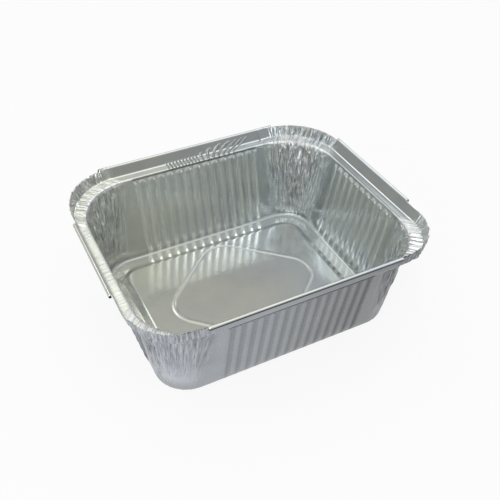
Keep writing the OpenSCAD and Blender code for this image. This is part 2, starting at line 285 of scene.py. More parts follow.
# What the folds and the finish read at each point: its place along the side, its way round
# the rim, its share of a corner, its side, height and band, its share of the band, its reach
markNames = ("along", "lap", "corner", "side", "height", "band", "share", "reach")
bands = {"panel": 0, "foot": 1, "wall": 2, "ledge": 3, "flange": 4, "bead": 5}
pastGrooves = 99.0     # the place along that the points of a corner are given


# The sheet as it grows. The blank is where each point lay on the flat foil
def startSheet():
    stations = makeStations()
    ring = [planPoint(s, 0, sheet["openRadius"], sheet["ledgeHeight"]) for s in stations]
    footEdge = -sheet["wallInset"] - sheet["footBend"]
    return {
        "stations": stations, "laps": distances(ring + ring[:1]),
        "bases": [planPoint(s, footEdge, sheet["footRadius"], 0) for s in stations],
        "ways": [facingOut(s) for s in stations],
        "points": [], "faces": [], "blanks": [], "marks": {name: [] for name in markNames},
    }


def addPoint(skin, i, flat, height, band, share, reach=0.0):
    station = skin["stations"][i]
    side, onCorner, place = station
    values = (pastGrooves if onCorner else place, skin["laps"][i], cornerShare(station),
              side, height, bands[band], share, reach)
    for name, value in zip(markNames, values):
        skin["marks"][name].append(value)
    blank = flat if band in ("panel", "foot") else skin["bases"][i] + skin["ways"][i] * reach
    skin["blanks"].append((blank[0] * mm, blank[1] * mm, 0.0))
    x, y = flat[0] + sheet["shift"][0], flat[1] + sheet["shift"][1]
    skin["points"].append((x * mm, y * mm, height * mm))
    return len(skin["points"]) - 1


def joinRows(skin, low, high, closed=True):
    count = len(low)
    for i in range(count if closed else count - 1):
        j = (i + 1) % count
        skin["faces"].append((low[i], low[j], high[j], high[i]))


def footPoint(station, out, height):
    return planPoint(station, out, sheet["panelRadius"] + out - stepHigh, height)


def addFoot(skin):
    line, rows = footLine(), []
    for k, (out, height) in enumerate(line):
        flats = [footPoint(station, out, height) for station in skin["stations"]]
        rows.append([addPoint(skin, i, flat, height, "foot", k / len(line)) for i, flat in enumerate(flats)])
    return rows


def addWall(skin):
    rows = []
    for (out, height), reach in zip(wallLine(), wallReaches):
        share = height / sheet["ledgeHeight"]
        radius = mix(sheet["footRadius"], sheet["openRadius"], share)
        flats = [planPoint(station, out, radius, height) for station in skin["stations"]]
        rows.append([addPoint(skin, i, flat, height, "wall", share, reach) for i, flat in enumerate(flats)])
    return rows


def addRimPoint(skin, i, spot, band, share, reach):
    out, height = spot
    flat = planPoint(skin["stations"][i], out, rimRadius(out), height)
    return addPoint(skin, i, flat, height, band, share, reach)


def addRim(skin, lines):
    ledgeCount = len(rimReaches) - fineness["flangeRows"] - 1
    flangeCount = len(rimReaches) - ledgeCount
    rows = []
    for k, reach in enumerate(rimReaches):
        band = "ledge" if k < ledgeCount else "flange"
        share = k / ledgeCount if band == "ledge" else (k - ledgeCount + 1) / flangeCount
        rows.append([addRimPoint(skin, i, line[k], band, share, reach) for i, line in enumerate(lines)])
    return rows


# The stations of a bead, which runs over its side's middle and a little way into the corners
def beadStations(skin, side):
    laps, count = skin["laps"], len(skin["stations"])
    first = next(i for i, station in enumerate(skin["stations"]) if station[0] == side)
    straight = sideHalf(side) - sheet["openRadius"]
    start, end = sides["bead"][side]
    chosen = []
    for offset in range(-fineness["cornerSteps"], count // 2):
        i = (first + offset) % count
        placed = laps[i] - laps[first]
        placed -= laps[-1] * round(placed / laps[-1])
        if -start <= placed - straight <= end:
            chosen.append(i)
    return chosen


def addBeads(skin, lines, edge):
    curl = math.radians(sheet["beadTurn"]) * sheet["bead"] / 2
    for side in range(4):
        chosen = beadStations(skin, side)
        below = [edge[i] for i in chosen]
        for k in range(fineness["beadRows"]):
            reach = edgeReach + curl * (k + 1) / fineness["beadRows"]
            spots = [lines[i][len(rimReaches) + k] for i in chosen]
            above = [addRimPoint(skin, i, spot, "bead", 1.0, reach) for i, spot in zip(chosen, spots)]
            joinRows(skin, below, above, closed=False)
            below = above


# The rows of the panel, inwards: the stretch that each is on, and its share of that stretch
def panelSteps():
    panel = [fineness["panelRim"], *between(1, 0, fineness["panelRows"]), fineness["ridgeFoot"]]
    ridge = np.linspace(1, -1, fineness["ridgeRows"])
    middle = [fineness["middleRim"], *between(1, 0, fineness["middleRows"])]
    return [("panel", k) for k in panel] + [("ridge", k) for k in ridge] + [("middle", k) for k in middle]


def panelPlace(edge, stretch, k):
    edgeAway = float(np.linalg.norm(edge))
    way, half = edge / edgeAway, diamond["width"] / 2
    if stretch == "panel":
        return way * mix(diamondReach(way, half), edgeAway, k)
    if stretch == "ridge":
        return way * diamondReach(way, half * k)
    return way * (diamondReach(way, -half) * k)


# The panel inside its slope: rays from the middle, through the diamond
def addPanel(skin, outer):
    count = len(outer)
    chosen = range(0, count, 2)
    out, height = footLine()[0]
    edges = [footPoint(skin["stations"][i], out, height) for i in chosen]
    before = None
    for stretch, k in panelSteps():
        lift = diamond["height"] * ease(diamond["steepness"] * (1 - abs(k))) if stretch == "ridge" else 0.0
        flats = [panelPlace(edge, stretch, k) for edge in edges]
        row = [addPoint(skin, i, flat, sheet["panelRise"] + lift, "panel", 0.0)
               for i, flat in zip(chosen, flats)]
        if before:
            joinRows(skin, row, before)
        else:
            for a, i in enumerate(chosen):
                ahead = (a + 1) % len(chosen)
                last, middle = outer[chosen[ahead]], outer[(i + 1) % count]
                skin["faces"].append((row[a], row[ahead], last, middle, outer[i]))
        before = row
    middle = addPoint(skin, 0, np.zeros(2), sheet["panelRise"], "panel", 0.0)
    for a in range(len(chosen)):
        skin["faces"].append((middle, before[(a + 1) % len(chosen)], before[a]))


# The even sheet: one skin of quads, before anything is pressed into it
def makeSheetMesh():
    skin = startSheet()
    lines = [rimAndBead(station) for station in skin["stations"]]
    rows = addFoot(skin) + addWall(skin) + addRim(skin, lines)
    for low, high in zip(rows[:-1], rows[1:]):
        joinRows(skin, low, high)
    addBeads(skin, lines, rows[-1])
    addPanel(skin, rows[0])

    mesh = bpy.data.meshes.new("foilSheet")
    mesh.from_pydata(skin["points"], [], skin["faces"])
    for name, values in skin["marks"].items():
        mesh.attributes.new(name, "FLOAT", "POINT").data.foreach_set("value", values)
    blanks = np.array(skin["blanks"], dtype=np.float32)
    mesh.attributes.new("blank", "FLOAT_VECTOR", "POINT").data.foreach_set("vector", blanks.ravel())
    mesh.polygons.foreach_set("use_smooth", [True] * len(mesh.polygons))
    mesh.update()
    print("even sheet:", len(skin["points"]), "points,", len(skin["faces"]), "faces, rim at",
          round(edgeReach, 2), "mm")
    return mesh


# Small helpers for node trees: a value plugs into a socket, and a calculation is one node
def plug(tree, value, socket):
    if isinstance(value, bpy.types.NodeSocket):
        tree.links.new(value, socket)
    elif value is not None:
        socket.default_value = value


def calc(tree, operation, *values):
    node = tree.nodes.new("ShaderNodeMath")
    node.operation = operation
    for value, socket in zip(values, node.inputs):
        plug(tree, value, socket)
    return node.outputs[0]


def total(tree, first, *others):
    for value in others:
        first = calc(tree, "ADD", first, value)
    return first


def product(tree, first, *others):
    for value in others:
        first = calc(tree, "MULTIPLY", first, value)
    return first


def less(tree, first, second):
    return calc(tree, "SUBTRACT", first, second)


def quotient(tree, first, second):
    return calc(tree, "DIVIDE", first, second)


def vectorCalc(tree, operation, first, second):
    node = tree.nodes.new("ShaderNodeVectorMath")
    node.operation = operation
    plug(tree, first, node.inputs[0])
    plug(tree, second, node.inputs["Scale" if operation == "SCALE" else 1])
    return node.outputs["Value" if operation == "DISTANCE" else "Vector"]


def ramp(tree, value, low, high, lowOut=0.0, highOut=1.0, smooth=True):
    node = tree.nodes.new("ShaderNodeMapRange")
    node.interpolation_type = "SMOOTHSTEP" if smooth else "LINEAR"
    for given, socket in zip((value, low, high, lowOut, highOut), node.inputs):
        plug(tree, given, socket)
    return node.outputs[0]


def combine(tree, x, y, z):
    node = tree.nodes.new("ShaderNodeCombineXYZ")
    for given, socket in zip((x, y, z), node.inputs):
        plug(tree, given, socket)
    return node.outputs[0]


def blend(tree, amount, first, second):
    node = tree.nodes.new("ShaderNodeMixRGB")
    for given, socket in zip((amount, first, second), node.inputs):
        plug(tree, given, socket)
    return node.outputs[0]


def noise(tree, vector, scale=1.0, detail=1.0, roughness=0.5):
    node = tree.nodes.new("ShaderNodeTexNoise")
    node.noise_dimensions = "3D"
    plug(tree, vector, node.inputs["Vector"])
    plug(tree, scale, node.inputs["Scale"])
    plug(tree, detail, node.inputs["Detail"])
    plug(tree, roughness, node.inputs["Roughness"])
    return node.outputs[0]


def marked(tree, name):
    node = tree.nodes.new("GeometryNodeInputNamedAttribute")
    node.data_type = "FLOAT"
    node.inputs["Name"].default_value = name
    return node.outputs["Attribute"]


# Flutes: distance from the nearest groove's middle, narrow folds between arched ribs
def flutes(tree, given, at):
    isShort = calc(tree, "PINGPONG", at["side"], 1.0)
    rowLong = product(tree, given["Groove row, long sides"], 0.5)
    rowShort = product(tree, given["Groove row, short sides"], 0.5)
    rowHalf = total(tree, rowLong, product(tree, isShort, less(tree, rowShort, rowLong)))
    pitch = given["Groove spacing"]
    halfPitch = product(tree, pitch, 0.5)
    away = less(tree, halfPitch, calc(tree, "PINGPONG", total(tree, at["along"], rowHalf), halfPitch))
    underLedge = less(tree, given["Ledge height"], at["height"])
    foldHalf = ramp(tree, underLedge, given["Flare start"], given["Flare end"],
                    product(tree, given["Fold width"], 0.5), product(tree, pitch, given["Flare width"]))
    fold = ramp(tree, away, less(tree, foldHalf, given["Fold side"]), foldHalf, 1.0, 0.0)
    archShare = calc(tree, "POWER", quotient(tree, away, halfPitch), 2.0)
    arch = product(tree, given["Rib arch"], less(tree, 1.0, archShare))
    groove = total(tree, arch, product(tree, fold, less(tree, 1.0, given["Rib arch"])))
    rowEnd = less(tree, rowHalf, calc(tree, "ABSOLUTE", at["along"]))
    onWallOrLedge = calc(tree, "COMPARE", at["band"], (bands["wall"] + bands["ledge"]) / 2, 0.6)
    return product(tree, groove, ramp(tree, rowEnd, 0.0, given["Row fade"]),
                   ramp(tree, underLedge, given["Top gap"], given["Top fade"]),
                   ramp(tree, at["height"], 0.0, given["Groove foot"]), onWallOrLedge)


# Gathers and creases: uneven upright folds round the corners, deeper towards the rim
def gathers(tree, given, at):
    broad = noise(tree, combine(tree, quotient(tree, at["lap"], given["Gather spacing"]),
                                quotient(tree, at["height"], given["Gather length"]), given["Seed"]))
    broad = product(tree, less(tree, broad, 0.5), 2.0)
    fine = noise(tree, combine(tree, quotient(tree, at["lap"], given["Crease spacing"]),
                               quotient(tree, at["height"], given["Crease length"]),
                               total(tree, given["Seed"], given["Crease seed"])), detail=2.0, roughness=0.6)
    fine = calc(tree, "ABSOLUTE", less(tree, fine, 0.5))
    crease = product(tree, ramp(tree, fine, 0.0, given["Crease line"], 1.0, 0.0), at["fullness"],
                     ramp(tree, at["height"], *growth["crease"]))
    fine = ramp(tree, fine, 0.0, given["Crease flank"], -1.0, given["Crease rise"])
    gather = total(tree, product(tree, broad, given["Gather depth"]),
                   product(tree, fine, given["Crease depth"]))
    gather = product(tree, gather, at["fullness"],
                     ramp(tree, at["height"], *growth["gather"], smooth=False),
                     less(tree, 1.0, product(tree, at["inRim"], given["Rim calm"])),
                     calc(tree, "GREATER_THAN", at["band"], bands["foot"] + 0.5))
    return gather, crease


def ripples(tree, given, at):
    layer = total(tree, given["Seed"], product(tree, at["band"], given["Band seed"]))
    ripple = noise(tree, combine(tree, quotient(tree, at["lap"], given["Ripple spacing"]),
                                 product(tree, at["share"], given["Ripple rows"]), layer))
    return product(tree, less(tree, ripple, 0.5), given["Rim ripple"], at["inRim"],
                   total(tree, at["fullness"], given["Side ripple"]))


# Shallow dents all over, as thin foil has
def dents(tree, given, at, place):
    dent = noise(tree, place, given["Dent scale"], 2.0, 0.45)
    return product(tree, less(tree, dent, 0.5), given["Dent depth"],
                   ramp(tree, at["height"], *growth["dent"]))


def stored(tree, geometry, name, value):
    node = tree.nodes.new("GeometryNodeStoreNamedAttribute")
    node.data_type, node.domain = "FLOAT", "POINT"
    node.inputs["Name"].default_value = name
    plug(tree, geometry, node.inputs["Geometry"])
    plug(tree, value, node.inputs["Value"])
    return node.outputs[0]


# The tree presses flutes, gathers, creases and dents into the even sheet, within two corners
def makeFoldTree(material):
    tree = bpy.data.node_groups.new("pressFolds", "GeometryNodeTree")
    tree.interface.new_socket("Geometry", in_out="INPUT", socket_type="NodeSocketGeometry")
    for name, value in folds.items():
        tree.interface.new_socket(name, in_out="INPUT", socket_type="NodeSocketFloat").default_value = value
    for name in ("Lowest corner", "Highest corner"):
        tree.interface.new_socket(name, in_out="INPUT", socket_type="NodeSocketVector")
    tree.interface.new_socket("Geometry", in_out="OUTPUT", socket_type="NodeSocketGeometry")
    given = tree.nodes.new("NodeGroupInput").outputs

    at = {name: marked(tree, name) for name in markNames}
    at["fullness"] = calc(tree, "POWER", at["corner"], given["Corner fullness"])
    at["inRim"] = calc(tree, "GREATER_THAN", at["band"], bands["wall"] + 0.5)
    place = tree.nodes.new("GeometryNodeInputPosition").outputs[0]
    fold = flutes(tree, given, at)      # from 0 to 1, and kept for the material
    gather, crease = gathers(tree, given, at)
    depth = total(tree, product(tree, fold, given["Groove depth"]), gather, ripples(tree, given, at),
                  dents(tree, given, at, place))

    normal = tree.nodes.new("GeometryNodeInputNormal").outputs[0]
    pressed = vectorCalc(tree, "ADD", place, vectorCalc(tree, "SCALE", normal, product(tree, depth, mm)))
    pressed = vectorCalc(tree, "MAXIMUM", pressed, given["Lowest corner"])
    pressed = vectorCalc(tree, "MINIMUM", pressed, given["Highest corner"])

    geometry = stored(tree, given["Geometry"], "fold", fold)
    geometry = stored(tree, geometry, "crease", crease)
    setPosition = tree.nodes.new("GeometryNodeSetPosition")
    plug(tree, geometry, setPosition.inputs["Geometry"])
    plug(tree, pressed, setPosition.inputs["Position"])
    realize = tree.nodes.new("GeometryNodeRealizeInstances")
    plug(tree, setPosition.outputs[0], realize.inputs[0])
    setMaterial = tree.nodes.new("GeometryNodeSetMaterial")
    plug(tree, realize.outputs[0], setMaterial.inputs["Geometry"])
    setMaterial.inputs["Material"].default_value = material
    plug(tree, setMaterial.outputs[0], tree.nodes.new("NodeGroupOutput").inputs[0])
    return tree


# Presses the folds, with inputs set by identifier, adds the foil and keeps a plain mesh
def bakeTree(piece, tree, values, thickness):
    modifier = piece.modifiers.new("folds", "NODES")
    modifier.node_group = tree
    for item in tree.interface.items_tree:
        if item.in_out == "INPUT" and item.name in values:
            modifier[item.identifier] = values[item.name]
    wall = piece.modifiers.new("foil", "SOLIDIFY")
    wall.thickness = thickness
    wall.offset = -1.0
    wall.use_even_offset = False
    wall.use_rim = True
    wall.material_offset = 1
    wall.material_offset_rim = 1
    graph = bpy.context.evaluated_depsgraph_get()
    mesh = bpy.data.meshes.new_from_object(piece.evaluated_get(graph))
    piece.modifiers.clear()
    piece.data = mesh


# Foil: rolled aluminium with a fine grain and small wrinkles, bright inside and duller outside.
# The outside's darker colour is partly its dull side and partly painted shade, for the shadowed floor it
# reflects.
# Each shade here is painted into the colour: above 0 it darkens what it names as painted shade,
# and below 0 it brightens it as a painted highlight
brightFoil = {
    "colour": (0.71, 0.72, 0.705), "leftPaintedCast": (1.0, 1.0, 0.95), "middlePaintedCast": (1.03, 1.01, 0.94),
    "rightPaintedCast": (0.96, 0.995, 1.04), "darkest": 0.01, "brightest": 1.0, "metallic": 0.9,
    "baseRoughness": 0.12, "wallRoughness": 0.12, "rimRoughness": 0.23, "leftLedgeRoughness": 0.12,
    "foldShade": -0.22, "edgeShade": -1.5, "hemShade": 0.9, "creaseShade": 0.35, "baseShade": 0.24,
    "cornerShade": -0.26, "rightShade": 0.0, "flangeShade": 0.16, "bendShade": -0.35, "ridgeShade": -0.18,
    "leftLedgeShade": -0.28, "rightLedgeShade": 0.3, "nearLeftShade": -0.05, "nearRightShade": -0.12,
    "curlTopShade": -0.4, "curlUnderShade": 1.35, "crinkleShade": -0.6, "crinkleHeights": (1.0, 10.0),
    "crinkleBump": 0.9, "wrinkleBump": 0.08, "grainBump": 0.035,
}
dullShadedFoil = {
    # The outside's colour: partly the dull side's own, partly painted shade
    "colour": (0.36, 0.372, 0.395), "leftPaintedCast": (0.98, 1.0, 1.03), "middlePaintedCast": (1.0, 1.0, 1.0),
    "rightPaintedCast": (1.0, 1.0, 0.98), "darkest": 0.01, "brightest": 1.0, "metallic": 0.85,
    "baseRoughness": 0.3, "wallRoughness": 0.27, "rimRoughness": 0.25, "leftLedgeRoughness": 0.0,
    "foldShade": 0.28, "edgeShade": 0.5, "hemShade": 0.3, "creaseShade": 0.4, "baseShade": 0.0,
    "cornerShade": -0.6, "rightShade": 0.38, "flangeShade": 0.0, "bendShade": 0.0, "ridgeShade": 0.0,
    "leftLedgeShade": 0.0, "rightLedgeShade": 0.0, "nearLeftShade": 0.0, "nearRightShade": 0.0,
    "curlTopShade": 0.0, "curlUnderShade": 0.7, "crinkleShade": 0.6, "crinkleHeights": (8.0, 26.0),
    "crinkleBump": 0.16, "wrinkleBump": 0.06, "grainBump": 0.03,
}

# Zones up the sheet, in millimetres from the flange's edge: the middle and half the width of
# the ledge and its two bends, then where the flange's painted shade, the painted highlight on the
# curl's top and the painted shadow under the curl start and are full
zones = {
    "ledge": (-8.37, 2.6), "innerBend": (-9.87, 0.4), "outerBend": (-5.42, 0.3),
    "flange": (-6.07, -5.07), "curlTop": (-0.47, 0.13), "curlUnder": (1.93, 2.53),
}

# Heights in millimetres between which a painted shade, the roughness or a painted cast changes:
# above the table, or from the ledge for the hem and from the panel for the ridge. The hem is the
# painted shade at the top of each fold, widened by its fullness, and paler on the right wall
heights = {
    "base": (1.5, 6.0), "corner": (2.0, 10.0), "roughness": (0.5, 5.0), "middle": (4.0, 2.0),
    "hem": (-1.8, -0.9), "ridge": (0.09, 0.18),
}
hemLook = {"fullness": 3.0, "lossOnRight": 0.7}

# Where the painted colour casts of the room's light, and the painted shade on the front's right end,
# lie on the sheet, in metres from its middle
casts = {
    "across": (-0.06, 0.06), "middle": (-0.01, -0.015, 0.0), "middleFade": (0.045, 0.01),
    "nearRightX": (-0.03, 0.05), "nearRightY": (-0.02, -0.045),
}

# Crinkles in the corners: lines and facets, by their steps per mm round the rim and per mm up
# the sheet, and a layer of the noise. The ledge takes the calm's share of them away
crinkles = {
    "lines": (0.75, 0.05, 3.0), "facets": (0.8, 0.08, 1.0), "lineWidth": 0.14, "facetDepth": 3.5,
    "cornerPower": 0.5, "onLeftLedge": 0.3, "ledgeCalm": 0.45,
}

# The crimps that the press left on the back of the rim, in millimetres: places along from the
# middle of the back, and heights on the sheet from the flange's edge
crimps = {
    "pitch": 1.85, "slantedPitch": 3.2, "lineWidth": 0.28,
    "uprightEnd": 3.0, "slantEnd": 24.0, "slant": 1.4, "pivot": -8.07,
    "bottom": -10.67, "bottomFade": 0.5, "top": -4.57, "slantedTop": -1.57, "topRun": 12.0, "topFade": 1.0,
    "start": -15.5, "startFade": 1.0, "end": 25.0, "endFade": 3.0,
}

# The foil's own pattern: its pale patches, its rolled grain, its wrinkles, and how deep each
# kind of bump is, in metres
pattern = {
    "patchScale": 55.0, "darkPatch": (0.95, 0.955, 0.965), "lightPatch": (1.03, 1.03, 1.0),
    "grainStretch": (160.0, 5200.0, 1.0), "grainRoughness": (-0.03, 0.04), "wrinkleScale": 420.0,
    "noiseSpread": (0.3, 0.7), "crinkle": 0.0011, "crimp": 0.0008, "wrinkle": 0.0004, "grain": 0.0002,
}


def painted(tree, name, output="Fac"):
    node = tree.nodes.new("ShaderNodeAttribute")
    node.attribute_name = name
    return node.outputs[output]


def addBump(tree, height, strength, distance, under=None):
    node = tree.nodes.new("ShaderNodeBump")
    node.inputs["Distance"].default_value = distance
    plug(tree, strength, node.inputs["Strength"])
    plug(tree, height, node.inputs["Height"])
    plug(tree, under, node.inputs["Normal"])
    return node.outputs[0]


def inZone(tree, at, name):
    middle, half = zones[name]
    return calc(tree, "COMPARE", at["reach"], edgeReach + middle, half)


def zoneShade(tree, at, name, shade):
    start, full = zones[name]
    return ramp(tree, at["reach"], edgeReach + start, edgeReach + full, 0.0, shade)


# What the material knows at each point of the sheet
def readSheet(tree):
    names = ("along", "lap", "corner", "side", "height", "reach", "fold", "crease")
    at = {name: painted(tree, name) for name in names}
    for number, name in enumerate(("onFront", "onRight", "onBack", "onLeft")):
        at[name] = calc(tree, "COMPARE", at["side"], number, 0.3)
    at["onLedge"] = inZone(tree, at, "ledge")
    at["onLeftLedge"] = product(tree, at["onLedge"], at["onLeft"])
    at["blank"] = painted(tree, "blank", "Vector")
    parts = tree.nodes.new("ShaderNodeSeparateXYZ")
    plug(tree, tree.nodes.new("ShaderNodeTexCoord").outputs["Object"], parts.inputs[0])
    at["x"], at["y"] = parts.outputs[0], parts.outputs[1]
    return at


# The lines of the crinkles, from 0 on a line to 1 beside it, and the height of their facets
def crinkleLayers(tree, at):
    linePlace, facetPlace = (
        combine(tree, product(tree, at["lap"], perLap), product(tree, at["reach"], perReach), layer)
        for perLap, perReach, layer in (crinkles["lines"], crinkles["facets"]))
    lines = calc(tree, "ABSOLUTE", less(tree, noise(tree, linePlace, 1.0, 2.0, 0.55), 0.5))
    lines = ramp(tree, lines, 0.0, crinkles["lineWidth"], smooth=False)
    facets = tree.nodes.new("ShaderNodeTexVoronoi")
    facets.feature = "DISTANCE_TO_EDGE"
    plug(tree, facetPlace, facets.inputs["Vector"])
    facets.inputs["Scale"].default_value = 1.0
    return lines, total(tree, lines, product(tree, facets.outputs["Distance"], crinkles["facetDepth"]))


def crinkleMask(tree, foil, at):
    inCorner = product(tree, calc(tree, "POWER", at["corner"], crinkles["cornerPower"]),
                       ramp(tree, at["height"], *foil["crinkleHeights"]))
    return calc(tree, "MAXIMUM", inCorner, product(tree, at["onLeftLedge"], crinkles["onLeftLedge"]))


# Crimps across the back ledge: upright on the left, slanted and further apart on the right
def crimpHeight(tree, at):
    place, upright = product(tree, at["along"], -1.0), crimps["uprightEnd"]
    slant = ramp(tree, place, upright, crimps["slantEnd"], 0.0, crimps["slant"], smooth=False)
    place = less(tree, place, product(tree, slant, less(tree, at["reach"], edgeReach + crimps["pivot"])))
    uprightPart = calc(tree, "MINIMUM", place, upright)
    slantedPart = calc(tree, "MAXIMUM", less(tree, place, upright), 0.0)
    steps = total(tree, quotient(tree, uprightPart, crimps["pitch"]),
                  quotient(tree, slantedPart, crimps["slantedPitch"]))
    lines = ramp(tree, calc(tree, "PINGPONG", steps, 0.5), 0.0, crimps["lineWidth"], 1.0, 0.0)
    bottom = edgeReach + crimps["bottom"]
    top = ramp(tree, place, 0.0, crimps["topRun"],
               edgeReach + crimps["top"], edgeReach + crimps["slantedTop"])
    return product(tree, lines, at["onBack"],
                   ramp(tree, at["reach"], bottom - crimps["bottomFade"], bottom),
                   ramp(tree, less(tree, top, at["reach"]), 0.0, crimps["topFade"]),
                   ramp(tree, less(tree, place, crimps["start"]), 0.0, crimps["startFade"]),
                   ramp(tree, less(tree, crimps["end"], place), 0.0, crimps["endFade"]))


# The sum of the painted light and shade on folds, bends, beads and single stretches of the rim
def paintedLightAndShade(tree, foil, at, crinkleShade):
    fold, height, corner = at["fold"], at["height"], at["corner"]
    # Painted light and shade on the grooves and their edges
    foldEdge = product(tree, fold, less(tree, 1.0, fold))
    # Painted shade at the top of each groove, under the ledge
    hemLow, hemHigh = (sheet["ledgeHeight"] + gap for gap in heights["hem"])
    hem = product(tree, calc(tree, "MINIMUM", product(tree, fold, hemLook["fullness"]), 1.0),
                  less(tree, 1.0, product(tree, at["onRight"], hemLook["lossOnRight"])),
                  ramp(tree, height, hemLow, hemHigh))
    # Painted light and shade on the ledges, by side and at the near corners
    nearLedges = total(tree, product(tree, at["onLeft"], foil["nearLeftShade"]),
                       product(tree, at["onFront"], foil["nearRightShade"]))
    sideLedges = total(tree, product(tree, at["onLeft"], foil["leftLedgeShade"]),
                       product(tree, at["onRight"], foil["rightLedgeShade"]))
    # Painted highlights on the ledge's two bends
    bends = calc(tree, "MAXIMUM", inZone(tree, at, "innerBend"), inZone(tree, at, "outerBend"))
    # Painted highlight along the ridge's top
    ridgeLow, ridgeHigh = (sheet["panelRise"] + rise for rise in heights["ridge"])
    onPanel = calc(tree, "COMPARE", at["reach"], 0.0, 0.01)
    # Painted shade on the outside of the front's right end
    nearRight = product(tree, ramp(tree, at["x"], *casts["nearRightX"], 0.0, foil["rightShade"]),
                        ramp(tree, at["y"], *casts["nearRightY"]))
    shades = [
        # Painted light on the groove bands inside, painted shade in the grooves outside
        product(tree, fold, foil["foldShade"]),
        # Painted shade along the creases
        product(tree, at["crease"], foil["creaseShade"]),
        # Painted highlights along the fold's edges inside, painted shade along them outside
        product(tree, foldEdge, foil["edgeShade"]),
        # Painted shade at the top of each groove
        product(tree, hem, foil["hemShade"]),
        # Painted shade on the base inside
        ramp(tree, height, *heights["base"], foil["baseShade"], 0.0),
        # Painted glints and shade along the crinkles
        crinkleShade,
        # Painted light in the corners
        product(tree, corner, ramp(tree, height, *heights["corner"], 0.0, foil["cornerShade"])),
        # Painted highlight on the bead's top
        zoneShade(tree, at, "curlTop", foil["curlTopShade"]),
        # Painted shadow under the bead
        zoneShade(tree, at, "curlUnder", foil["curlUnderShade"]),
        # Painted light and shade on the ledge at the near corners
        product(tree, nearLedges, at["onLedge"], corner),
        # Painted light on the left ledge, painted shade on the right ledge
        product(tree, sideLedges, at["onLedge"], less(tree, 1.0, corner)),
        # Painted highlights on the ledge's bends
        product(tree, bends, foil["bendShade"]),
        # Painted highlight along the ridge's top
        product(tree, ramp(tree, height, ridgeLow, ridgeHigh), onPanel, foil["ridgeShade"]),
        # Painted shade on the flange
        zoneShade(tree, at, "flange", foil["flangeShade"]),
        # Painted shade on the outside of the front's right end
        nearRight,
    ]
    return total(tree, *shades)


# Pale patches of the foil's own uneven tone, under painted colour casts of the room's light on the
# left, the right and the middle of the base, then the painted light and shade
def foilColour(tree, foil, at, paintedShading):
    patches = ramp(tree, noise(tree, at["blank"], pattern["patchScale"], 2.0), *pattern["noiseSpread"])
    dark, light = ((*(c * k for c, k in zip(foil["colour"], pattern[name])), 1)
                   for name in ("darkPatch", "lightPatch"))
    # Painted colour casts of the room's light, changing from left to right, and another in the middle of the
    # base
    cast = blend(tree, ramp(tree, at["x"], *casts["across"]),
                 (*foil["leftPaintedCast"], 1), (*foil["rightPaintedCast"], 1))
    away = vectorCalc(tree, "DISTANCE", combine(tree, at["x"], at["y"], 0.0), casts["middle"])
    inMiddle = product(tree, ramp(tree, away, *casts["middleFade"]),
                       ramp(tree, at["height"], *heights["middle"]))
    cast = blend(tree, inMiddle, cast, (*foil["middlePaintedCast"], 1))
    colour = vectorCalc(tree, "MULTIPLY", blend(tree, patches, dark, light), cast)
    colour = vectorCalc(tree, "SCALE", colour, less(tree, 1.0, paintedShading))
    colour = vectorCalc(tree, "MAXIMUM", colour, (foil["darkest"],) * 3)
    return vectorCalc(tree, "MINIMUM", colour, (foil["brightest"],) * 3)


def foilRoughness(tree, foil, at, grainLines):
    base, wall = foil["baseRoughness"], foil["wallRoughness"]
    return total(tree, ramp(tree, at["height"], *heights["roughness"], base, wall),
                 product(tree, at["onLedge"], foil["rimRoughness"] - wall),
                 product(tree, at["onLeftLedge"], foil["leftLedgeRoughness"]),
                 ramp(tree, grainLines, *pattern["noiseSpread"], *pattern["grainRoughness"]))


def makeFoilMaterial(name, foil):
    material = bpy.data.materials.new(name)
    material.use_nodes = True
    tree = material.node_tree
    shader = tree.nodes["Principled BSDF"]
    shader.inputs["Metallic"].default_value = foil["metallic"]
    at = readSheet(tree)
    stretched = tree.nodes.new("ShaderNodeMapping")
    stretched.inputs["Scale"].default_value = pattern["grainStretch"]
    plug(tree, at["blank"], stretched.inputs["Vector"])
    grainLines = noise(tree, stretched.outputs[0], 1.0, 2.0, 0.6)
    wrinkles = noise(tree, at["blank"], pattern["wrinkleScale"], 2.0, 0.55)
    lines, facets = crinkleLayers(tree, at)
    mask = crinkleMask(tree, foil, at)

    # Painted glints along the crinkle lines inside, painted shade along them outside
    crinkleShade = product(tree, less(tree, 1.0, lines), mask, foil["crinkleShade"])
    # Painted light and shade, taken off the colour below
    paintedShading = paintedLightAndShade(tree, foil, at, crinkleShade)
    plug(tree, foilColour(tree, foil, at, paintedShading), shader.inputs["Base Color"])
    plug(tree, foilRoughness(tree, foil, at, grainLines), shader.inputs["Roughness"])

    calm = less(tree, 1.0, product(tree, at["onLedge"], crinkles["ledgeCalm"]))
    bumps = addBump(tree, facets, product(tree, mask, calm, foil["crinkleBump"]), pattern["crinkle"])
    bumps = addBump(tree, crimpHeight(tree, at), 1.0, pattern["crimp"], bumps)
    bumps = addBump(tree, wrinkles, foil["wrinkleBump"], pattern["wrinkle"], bumps)
    bumps = addBump(tree, grainLines, foil["grainBump"], pattern["grain"], bumps)
    plug(tree, bumps, shader.inputs["Normal"])
    return material


sheetMesh = makeSheetMesh()
container = bpy.data.objects.new("foilContainer", sheetMesh)
bpy.context.scene.collection.objects.link(container)
outerFoil, innerFoil = makeFoilMaterial("dullShadedFoil", dullShadedFoil), makeFoilMaterial("brightFoil", brightFoil)
for material in (outerFoil, innerFoil):
    sheetMesh.materials.append(material)

# The folded sheet stays within the solid's box, less the foil that is added on its inner side
foilGap = Vector((sheet["foil"], sheet["foil"], sheet["foil"])) * mm
corners = {
    "Lowest corner": Vector(cadBox[0]) + foilGap * Vector((1, 1, 0)),
    "Highest corner": Vector(cadBox[1]) - foilGap,
}
bakeTree(container, makeFoldTree(outerFoil), {**folds, **corners}, sheet["foil"] * mm)
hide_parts("foil_container")
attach(container, "root")
print("foil container:", len(container.data.polygons), "faces")

